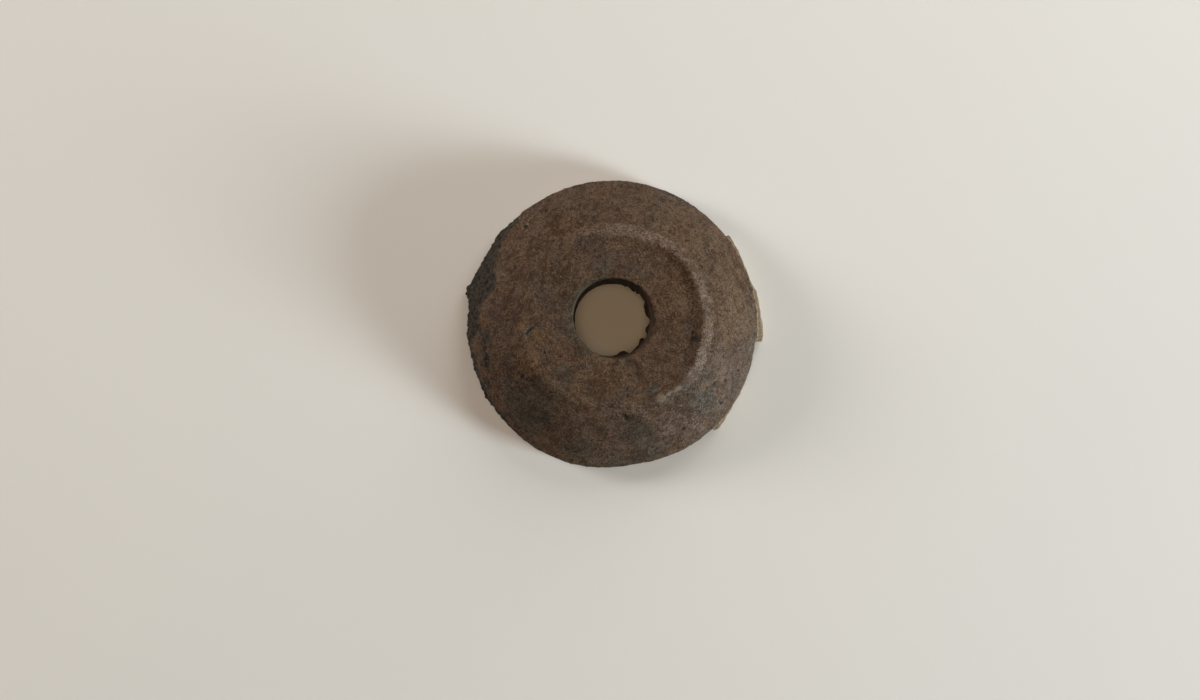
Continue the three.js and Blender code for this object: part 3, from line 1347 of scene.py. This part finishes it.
@dataclass(frozen=True)
class BoneFinish:
    """Old bone: brown and mottled, rubbed on the ring with painted sheen on its lit side, crumbled and dark
    on one edge, pale where it broke.
    """

    brown: Colour = (0.076, 0.0450, 0.0255)
    warm_brown: Colour = (0.082, 0.0440, 0.0225)
    cool_brown: Colour = (0.070, 0.0455, 0.0295)
    purple: Colour = (0.060, 0.0370, 0.0245)
    ochre: Colour = (0.092, 0.0500, 0.0235)
    red: Colour = (0.072, 0.0400, 0.0260)
    pink: Colour = (0.100, 0.0600, 0.0425)
    olive: Colour = (0.057, 0.0405, 0.0248)
    grey: Colour = (0.064, 0.0495, 0.0330)
    dark: Colour = (0.051, 0.0395, 0.0280)
    # rubbed ring, lighter partly as painted sheen on its lit side
    rubbed_and_sheen: Colour = (0.130, 0.0860, 0.0590)
    pale: Colour = (0.200, 0.1580, 0.1180)
    pore: Colour = (0.016, 0.0110, 0.0080)
    crust: Colour = (0.012, 0.0120, 0.0105)
    crust_light: Colour = (0.062, 0.0540, 0.0430)
    tan: Colour = (0.170, 0.1220, 0.0760)
    tan_light: Colour = (0.310, 0.2320, 0.1540)
    tan_dark: Colour = (0.075, 0.0480, 0.0250)
    # painted shade in the spindle hole: near black, over the wall's own dark bone
    wall: Colour = (0.010, 0.0060, 0.0045)
    sponge: Colour = (0.100, 0.0700, 0.0440)
    darkest: Colour = (0.39, 0.27, 0.13)  # tint where the mottling is darkest
    lightest: Colour = (1.78, 1.94, 2.13)  # and where it is lightest
    darkest_sum: float = -0.7  # sum of the mottles that is darkest
    lightest_sum: float = 0.9  # and lightest
    stain_start: float = 0.35  # value of a stain's layer and noise together where it starts
    stain_full: float = 0.85
    stain_share: float = 0.95
    scratch_turns: tuple[float, ...] = (25.0, 70.0, 110.0, 155.0)
    specular: float = 0.2
    bump_depth: float = 0.16
    mottles: tuple[Mottle, ...] = (
        Mottle(0.22, 1.3),
        Mottle(0.5, 1.9, 2.0),
        Mottle(1.1, 2.2, 3.0),
        Mottle(2.3, 1.9),
        Mottle(4.6, 3.3),
        Mottle(7.5, 3.6),
        Mottle(0.6, 1.5, 3.0, around=True),
    )

    def build(self) -> bpy.types.Material:
        """The whole finish, from the ground colour up.

        Returns:
            The material.
        """
        kit = NodeKit("old_bone")
        colour = self.ground(kit)
        colour = self.stained(kit, colour)
        colour = self.mottled(kit, colour)
        colour = self.marked(kit, colour)
        colour = self.broken(kit, colour)
        shader = kit.shader
        shader.inputs["Specular IOR Level"].default_value = self.specular
        kit.tree.links.new(colour, shader.inputs["Base Color"])
        kit.tree.links.new(self.roughness(kit), shader.inputs["Roughness"])
        kit.tree.links.new(self.grain(kit), shader.inputs["Normal"])
        return kit.material

    def ground(self, kit: NodeKit) -> Socket:
        """Brown that drifts between warm and cool, with patches of ochre and purple.

        Args:
            kit: where the nodes go.

        Returns:
            The colour.
        """
        drift = kit.rise(kit.noise(0.16, 3.0), 0.38, 0.62)
        colour = kit.mix(drift, self.warm_brown, self.cool_brown)
        patches = kit.rise(kit.noise(0.42, 5.0, 0.65), 0.48, 0.58)
        colour = kit.mix(patches, colour, self.brown)
        ochre = kit.rise(kit.noise(0.7, 5.0, 0.7, 0.5), 0.55, 0.64, 0.0, 0.6)
        colour = kit.mix(ochre, colour, self.ochre)
        purple = kit.rise(kit.noise(0.5, 5.0, 0.7, 0.5), 0.56, 0.64, 0.0, 0.6)
        return kit.mix(purple, colour, self.purple)

    def stained(self, kit: NodeKit, colour: Socket) -> Socket:
        """The stains and the rubbed ring with its painted sheen, their borders broken up.

        Args:
            kit: where the nodes go.
            colour: the colour so far.

        Returns:
            The colour with these on it.
        """
        stains = (
            (Layer.OCHRE, self.ochre, 0.9),
            (Layer.RED, self.red, 1.0),
            (Layer.PURPLE, self.purple, 0.8),
            (Layer.PINK, self.pink, 1.1),
            (Layer.OLIVE, self.olive, 0.7),
            (Layer.GREY, self.grey, 0.9),
            (Layer.DARK, self.dark, 0.8),
            (Layer.WEAR, self.rubbed_and_sheen, 1.2),
        )
        for layer, over, waves in stains:
            share = kit.ragged(layer, waves, self.stain_start, self.stain_full, self.stain_share)
            colour = kit.mix(share, colour, over)
        return colour

    def mottled(self, kit: NodeKit, colour: Socket) -> Socket:
        """Light and dark at several scales, from patches down to grain, stronger in some places.

        Args:
            kit: where the nodes go.
            colour: the colour so far.

        Returns:
            The colour with these on it.
        """
        lightness = 0.0
        rough = kit.rise(kit.noise(0.5, 2.0), 0.35, 0.65, 0.6, 1.5)
        for mottle in self.mottles:
            vector = kit.round_the_whorl(mottle.waves) if mottle.around else None
            waves = 1.0 if mottle.around else mottle.waves
            value = kit.noise(waves, mottle.detail, 0.65, 0.9, vector)
            swing = kit.rise(value, 0.0, 1.0, -mottle.contrast / 2, mottle.contrast / 2)
            if mottle.waves > 1.0:
                swing = kit.maths("MULTIPLY", swing, rough)
            lightness = kit.maths("ADD", swing, lightness)
        light = kit.rise(lightness, self.darkest_sum, self.lightest_sum)
        tint = kit.mix(light, self.darkest, self.lightest)
        return kit.mix(1.0, colour, tint, "MULTIPLY")

    def marked(self, kit: NodeKit, colour: Socket) -> Socket:
        """Short light scratches, light specks, pale marks and dark pores.

        Args:
            kit: where the nodes go.
            colour: the colour so far.

        Returns:
            The colour with these on it.
        """
        for turn in self.scratch_turns:
            vector = kit.turned(turn, (0.75, 0.13, 1.0))
            scratch = kit.rise(kit.noise(1.0, 3.0, 0.65, 1.2, vector), 0.6, 0.72, 0.0, 0.25)
            colour = kit.mix(scratch, colour, self.pale)
        specks = kit.rise(kit.noise(2.6, 3.0, 0.8), 0.68, 0.74, 0.0, 0.35)
        marks = kit.ragged(Layer.PALE, 3.2, 0.4, 0.95, 0.8)
        colour = kit.mix(kit.maths("MAXIMUM", specks, marks), colour, self.pale)
        pores = kit.rise(kit.noise(1.5, 4.0, 0.75, 0.4), 0.34, 0.28, 0.0, 0.75)
        holes = kit.ragged(Layer.PIT, 2.2, 0.35, 0.75, 0.85)
        return kit.mix(kit.maths("MAXIMUM", pores, holes), colour, self.pore)

    def broken(self, kit: NodeKit, colour: Socket) -> Socket:
        """The painted shade on the hole's wall, the crumbled edge, the spongy underside and the pale breaks.

        Args:
            kit: where the nodes go.
            colour: the colour so far.

        Returns:
            The colour with these on it.
        """
        # painted shade in the spindle hole, darkest on its shaded side
        colour = kit.mix(kit.where(Layer.WALL), colour, self.wall)
        coarse = kit.rise(kit.noise(1.9, 5.0, 0.75), 0.4, 0.62)
        crust = kit.mix(coarse, self.crust, self.crust_light)
        colour = kit.mix(kit.ragged(Layer.CRUST, 1.3, 0.4, 0.6, 0.92), colour, crust)
        hollows = kit.rise(kit.noise(1.8, 4.0, 0.75), 0.5, 0.42)
        colour = kit.mix(kit.maths("MULTIPLY", hollows, kit.where(Layer.BROKEN)), colour, self.pore)
        pores = kit.rise(kit.cell_borders(1.1), 0.02, 0.16)
        spongy = kit.mix(pores, self.sponge, self.dark)
        colour = kit.mix(kit.where(Layer.SPONGE), colour, spongy)
        porous = kit.rise(kit.noise(2.4, 4.0, 0.75), 0.56, 0.4, 0.0, 0.9)
        tan = kit.mix(kit.where(Layer.BORDER), self.tan, self.tan_light)
        tan = kit.mix(porous, tan, self.tan_dark)
        return kit.mix(kit.where(Layer.FRESH), colour, tan)

    def roughness(self, kit: NodeKit) -> Socket:
        """Dull bone, smoother where it is rubbed.

        Args:
            kit: where the nodes go.

        Returns:
            The roughness.
        """
        base = kit.rise(kit.noise(1.2, 3.0), 0.3, 0.7, 0.55, 0.72)
        rubbed_and_sheen = kit.maths("MULTIPLY", kit.where(Layer.WEAR), -0.1)
        torn = kit.maths("MAXIMUM", kit.where(Layer.CRUST), kit.where(Layer.FRESH))
        rough = kit.maths("MULTIPLY", torn, 0.3)
        return kit.maths("ADD", kit.maths("ADD", base, rubbed_and_sheen), rough)

    def grain(self, kit: NodeKit) -> Socket:
        """Fine fibres and scratches in the surface's light and shade.

        Args:
            kit: where the nodes go.

        Returns:
            The normal.
        """
        fibres = kit.noise(1.6, 6.0, 0.7, 0.6)
        around = kit.noise(1.0, 3.0, 0.6, 0.3, kit.round_the_whorl(0.6))
        height = kit.maths("ADD", fibres, kit.maths("MULTIPLY", around, 0.5))
        inputs = {"Strength": 1.0, "Distance": self.bump_depth * MM, "Height": height}
        return kit.node("ShaderNodeBump", inputs).outputs["Normal"]


@dataclass(frozen=True)
class FloorFinish:
    """A plain pale matt floor."""

    colour: Colour = (0.80, 0.795, 0.775)
    darker_share: float = 0.985  # how light its darker places are
    roughness: float = 0.9
    specular: float = 0.1

    def build(self) -> bpy.types.Material:
        """Matt paint with the faintest unevenness.

        Returns:
            The material.
        """
        kit = NodeKit("pale_floor")
        uneven = kit.rise(kit.noise(0.02, 3.0), 0.3, 0.7)
        darker = tuple(self.darker_share * part for part in self.colour)
        kit.tree.links.new(kit.mix(uneven, self.colour, darker), kit.shader.inputs["Base Color"])
        kit.shader.inputs["Roughness"].default_value = self.roughness
        kit.shader.inputs["Specular IOR Level"].default_value = self.specular
        return kit.material


# ---------------------------------------------------------------------------------------------
# Studio


@dataclass(frozen=True)
class SoftLight:
    """A square soft light aimed at the whorl, placed by its direction and its distance in metres."""

    name: str
    azimuth: float
    elevation: float
    distance: float
    size: float
    watts: float
    colour: Colour

    def build(self) -> None:
        """Adds the light."""
        azimuth, elevation = math.radians(self.azimuth), math.radians(self.elevation)
        towards = Vector((
            math.cos(azimuth) * math.cos(elevation),
            math.sin(azimuth) * math.cos(elevation),
            math.sin(elevation),
        ))
        data = bpy.data.lights.new(self.name, "AREA")
        data.size = self.size
        data.energy = self.watts
        data.color = self.colour
        light = bpy.data.objects.new(self.name, data)
        bpy.context.scene.collection.objects.link(light)
        light.location = towards * self.distance
        light.rotation_euler = (-towards).to_track_quat("-Z", "Y").to_euler()


@dataclass
class Studio:
    """The floor, the soft lights and the camera that looks straight down."""

    floor_width: float = 3.0  # metres
    floor_drop: float = 0.05  # below the underside, so that the two faces don't share a plane
    lens: float = 100.0
    sensor: float = 36.0
    view_width: float = 175.6  # width of floor that the camera takes in
    aim: Place = (-2.07, -3.80)
    lights: tuple[SoftLight, ...] = (
        SoftLight("key", 338, 14, 0.8, 0.2, 9.4, (0.76, 0.86, 0.90)),
        SoftLight("second", 160, 21, 0.8, 0.25, 3.7, (0.95, 0.89, 0.84)),
        SoftLight("near", 62, 25, 0.4, 0.3, 0.9, (1.0, 0.99, 0.95)),
        SoftLight("overhead", 0, 90, 0.9, 0.3, 1.45, (1.0, 0.69, 0.41)),
    )
    ambient: float = 0.01
    ambient_colour: Colour = (1.0, 0.93, 0.84)

    def build(self) -> None:
        """Adds all of it."""
        self.add_floor()
        for light in self.lights:
            light.build()
        self.add_ambient()
        self.add_camera()
        bpy.context.scene.view_settings.view_transform = "Standard"
        log.info("studio: %d lights", len(self.lights))

    def add_floor(self) -> None:
        """A wide plain sheet under the whorl."""
        bpy.ops.object.select_all(action="DESELECT")
        bpy.ops.mesh.primitive_plane_add(size=self.floor_width, location=(0, 0, -self.floor_drop * MM))
        bpy.ops.object.transform_apply(location=True, rotation=True, scale=True)
        floor = bpy.context.object
        floor.name = "floor"
        floor.data.materials.append(FloorFinish().build())

    def add_ambient(self) -> None:
        """An even weak light from all round."""
        world = bpy.data.worlds.new("room")
        world.use_nodes = True
        background = world.node_tree.nodes["Background"]
        background.inputs["Color"].default_value = with_alpha(self.ambient_colour)
        background.inputs["Strength"].default_value = self.ambient
        bpy.context.scene.world = world

    def add_camera(self) -> None:
        """A long lens that looks straight down."""
        data = bpy.data.cameras.new("camera")
        data.lens = self.lens
        data.sensor_width = self.sensor
        camera = bpy.data.objects.new("camera", data)
        bpy.context.scene.collection.objects.link(camera)
        rim_height = WhorlForm().rim_side_height * MM
        distance = self.view_width * MM * self.lens / self.sensor
        camera.location = (self.aim[0] * MM, self.aim[1] * MM, rim_height + distance)
        bpy.context.scene.camera = camera


def main() -> None:
    """Builds the whorl with its finish, and its studio."""
    logging.basicConfig(level=logging.INFO, format="%(name)s: %(message)s")
    whorl = Whorl().build()
    whorl.data.materials.clear()
    whorl.data.materials.append(BoneFinish().build())
    Studio().build()


if __name__ == "__main__":
    main()
